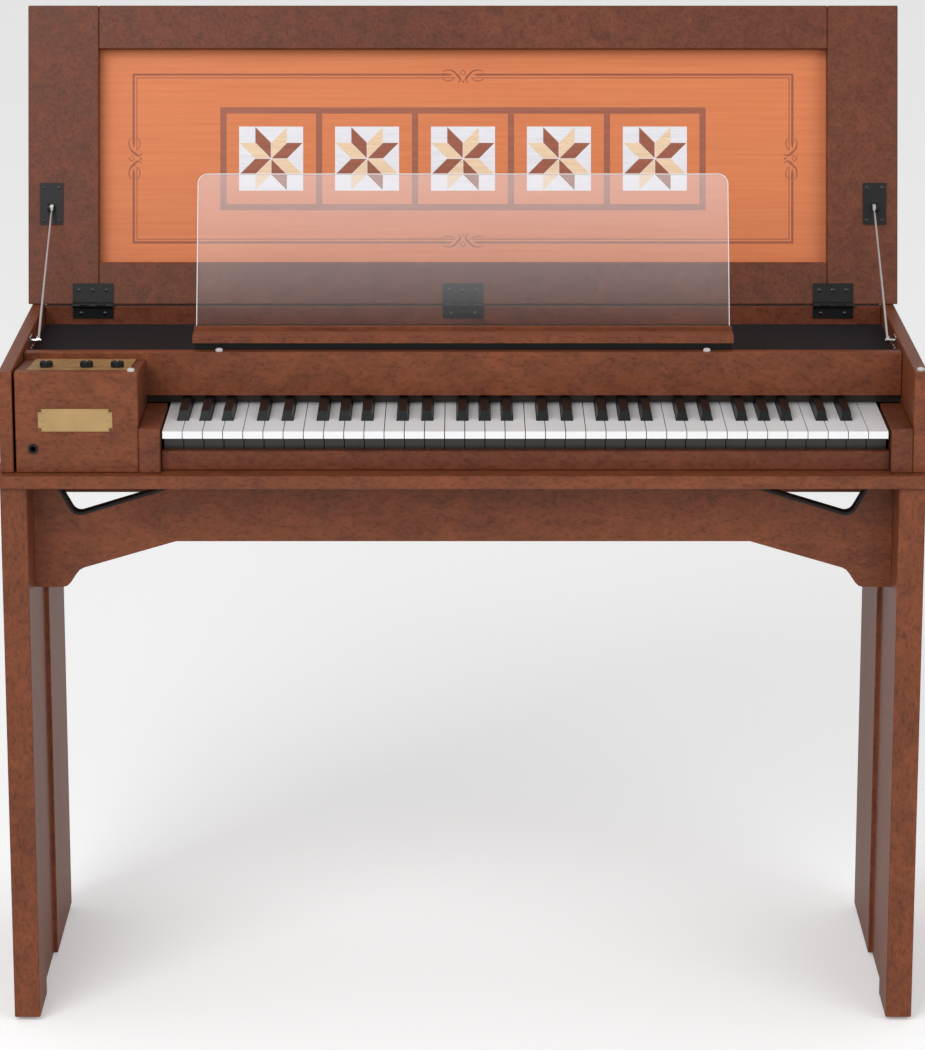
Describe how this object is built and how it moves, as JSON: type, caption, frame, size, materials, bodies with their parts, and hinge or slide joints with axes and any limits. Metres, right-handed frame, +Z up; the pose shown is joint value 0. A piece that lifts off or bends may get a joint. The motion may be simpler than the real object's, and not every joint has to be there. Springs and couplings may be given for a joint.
{
  "type": "digital harpsichord",
  "caption": "Compact digital harpsichord on a board stand, with a raised inlaid lid on stays, a control box, a clear music rest and an arched apron.",
  "frame": {"origin": "centre of the bounding box's underside, on the floor, with the lid open", "axes": "+Z up, -Y towards the player, +X to the player's right"},
  "size_m": [1.0926, 0.5008, 1.1635],
  "materials": {
    "burl_wood": "satin veneer",
    "panel_wood": "satin inlaid veneer",
    "plate_wood": "satin",
    "pine": "plain",
    "black_lacquer": "satin lacquer",
    "deck_cloth": "matt woven",
    "black_metal": "satin lacquer",
    "black_plastic": "matt",
    "nickel": "bright plated",
    "brass": "satin",
    "key_white": "gloss",
    "key_black": "satin",
    "grey_metal": "plain",
    "circuit_board": "solder mask",
    "clear_acrylic": "polished clear",
    "supply_case": "plain sheet metal box, light inside"
  },
  "bodies": {
    "cabinet": {"base_board": "burl_wood", "cheek_left": "burl_wood", "cheek_right": "burl_wood", "back_wall": "burl_wood", "name_board": "burl_wood", "key_slip": "burl_wood", "key_block_left": "burl_wood", "key_block_right": "burl_wood", "control_front": "burl_wood", "control_side": "burl_wood", "control_bed": "burl_wood", "leg_left": "burl_wood", "leg_right": "burl_wood", "apron": "burl_wood", "rear_rail": "burl_wood", "rest_ledge": "burl_wood", "control_plate": "plate_wood", "deck_frame": "pine", "rest_base": "black_lacquer", "deck": "deck_cloth", "nameplate": "brass", "headphone_jack": "black_plastic", "notch_trim_left": "black_plastic", "notch_trim_right": "black_plastic", "speaker_panel": "black_metal", "stay_bracket_left": "nickel", "stay_bracket_right": "nickel", "key_frame": "grey_metal", "power_supply": "supply_case", "main_board": "circuit_board", "control_board": "circuit_board", "rest_plate": "clear_acrylic", "hinge_case_left": "black_metal", "hinge_case_middle": "black_metal", "hinge_case_right": "black_metal"},
    "lid": {"lid_stile_left": "burl_wood", "lid_stile_right": "burl_wood", "lid_rail_bottom": "burl_wood", "lid_rail_top": "burl_wood", "lid_panel": "panel_wood", "hinge_lid_left": "black_metal", "hinge_lid_middle": "black_metal", "hinge_lid_right": "black_metal", "stay_plate_left": "black_metal", "stay_plate_right": "black_metal"},
    "stay_left": {"stay_rod_left": "nickel"},
    "stay_right": {"stay_rod_right": "nickel"},
    "knob_left": {"knob_left": "black_plastic"},
    "knob_middle": {"knob_middle": "black_plastic"},
    "knob_right": {"knob_right": "black_plastic"},
    "naturals_1": {"naturals_1": "key_white"},
    "sharps_1": {"sharps_1": "key_black"},
    "naturals_2": {"naturals_2": "key_white"},
    "sharps_2": {"sharps_2": "key_black"},
    "naturals_3": {"naturals_3": "key_white"},
    "sharps_3": {"sharps_3": "key_black"},
    "naturals_4": {"naturals_4": "key_white"},
    "sharps_4": {"sharps_4": "key_black"},
    "naturals_5": {"naturals_5": "key_white"},
    "sharps_5": {"sharps_5": "key_black"}
  },
  "joints": [
    {"name": "lid_hinge", "type": "hinge", "parent": "cabinet", "child": "lid", "pos_m": [0, 0.13529, 0.7992], "axis": [1, 0, 0], "range_deg": [0, 48]},
    {"name": "stay_left_pivot", "type": "hinge", "parent": "lid", "child": "stay_left", "pos_m": [-0.5135, 0.1586, 0.91882], "axis": [1, 0, 0], "range_deg": [-62.5, 0]},
    {"name": "stay_right_pivot", "type": "hinge", "parent": "lid", "child": "stay_right", "pos_m": [0.5135, 0.1586, 0.91882], "axis": [1, 0, 0], "range_deg": [-62.5, 0]},
    {"name": "knob_left_turn", "type": "hinge", "parent": "cabinet", "child": "knob_left", "pos_m": [-0.487, -0.19603, 0.79406], "axis": [0, 0.1063, 0.9943], "range_deg": [-140, 140]},
    {"name": "knob_middle_turn", "type": "hinge", "parent": "cabinet", "child": "knob_middle", "pos_m": [-0.44, -0.19603, 0.79406], "axis": [0, 0.1063, 0.9943], "range_deg": [-140, 140]},
    {"name": "knob_right_turn", "type": "hinge", "parent": "cabinet", "child": "knob_right", "pos_m": [-0.404, -0.19603, 0.79406], "axis": [0, 0.1063, 0.9943], "range_deg": [-140, 140]},
    {"name": "naturals_1_dip", "type": "hinge", "parent": "cabinet", "child": "naturals_1", "pos_m": [0, -0.02541, 0.697], "axis": [1, 0, 0], "range_deg": [0, 2.2], "stiffness_Nm_per_rad": 7, "springref_deg": -11.46},
    {"name": "sharps_1_dip", "type": "hinge", "parent": "cabinet", "child": "sharps_1", "pos_m": [0, -0.02541, 0.697], "axis": [1, 0, 0], "range_deg": [0, 2.2], "stiffness_Nm_per_rad": 2.8, "springref_deg": -11.46},
    {"name": "naturals_2_dip", "type": "hinge", "parent": "cabinet", "child": "naturals_2", "pos_m": [0, -0.02541, 0.697], "axis": [1, 0, 0], "range_deg": [0, 2.2], "stiffness_Nm_per_rad": 7, "springref_deg": -11.46},
    {"name": "sharps_2_dip", "type": "hinge", "parent": "cabinet", "child": "sharps_2", "pos_m": [0, -0.02541, 0.697], "axis": [1, 0, 0], "range_deg": [0, 2.2], "stiffness_Nm_per_rad": 2.8, "springref_deg": -11.46},
    {"name": "naturals_3_dip", "type": "hinge", "parent": "cabinet", "child": "naturals_3", "pos_m": [0, -0.02541, 0.697], "axis": [1, 0, 0], "range_deg": [0, 2.2], "stiffness_Nm_per_rad": 7, "springref_deg": -11.46},
    {"name": "sharps_3_dip", "type": "hinge", "parent": "cabinet", "child": "sharps_3", "pos_m": [0, -0.02541, 0.697], "axis": [1, 0, 0], "range_deg": [0, 2.2], "stiffness_Nm_per_rad": 2.8, "springref_deg": -11.46},
    {"name": "naturals_4_dip", "type": "hinge", "parent": "cabinet", "child": "naturals_4", "pos_m": [0, -0.02541, 0.697], "axis": [1, 0, 0], "range_deg": [0, 2.2], "stiffness_Nm_per_rad": 7, "springref_deg": -11.46},
    {"name": "sharps_4_dip", "type": "hinge", "parent": "cabinet", "child": "sharps_4", "pos_m": [0, -0.02541, 0.697], "axis": [1, 0, 0], "range_deg": [0, 2.2], "stiffness_Nm_per_rad": 2.8, "springref_deg": -11.46},
    {"name": "naturals_5_dip", "type": "hinge", "parent": "cabinet", "child": "naturals_5", "pos_m": [0, -0.02541, 0.697], "axis": [1, 0, 0], "range_deg": [0, 2.2], "stiffness_Nm_per_rad": 7, "springref_deg": -11.46},
    {"name": "sharps_5_dip", "type": "hinge", "parent": "cabinet", "child": "sharps_5", "pos_m": [0, -0.02541, 0.697], "axis": [1, 0, 0], "range_deg": [0, 2.2], "stiffness_Nm_per_rad": 2.8, "springref_deg": -11.46}
  ],
  "couplings": [
    {"joint": "stay_left_pivot", "follows": "lid_hinge", "ratio": -1.3},
    {"joint": "stay_right_pivot", "follows": "lid_hinge", "ratio": -1.3}
  ]
}
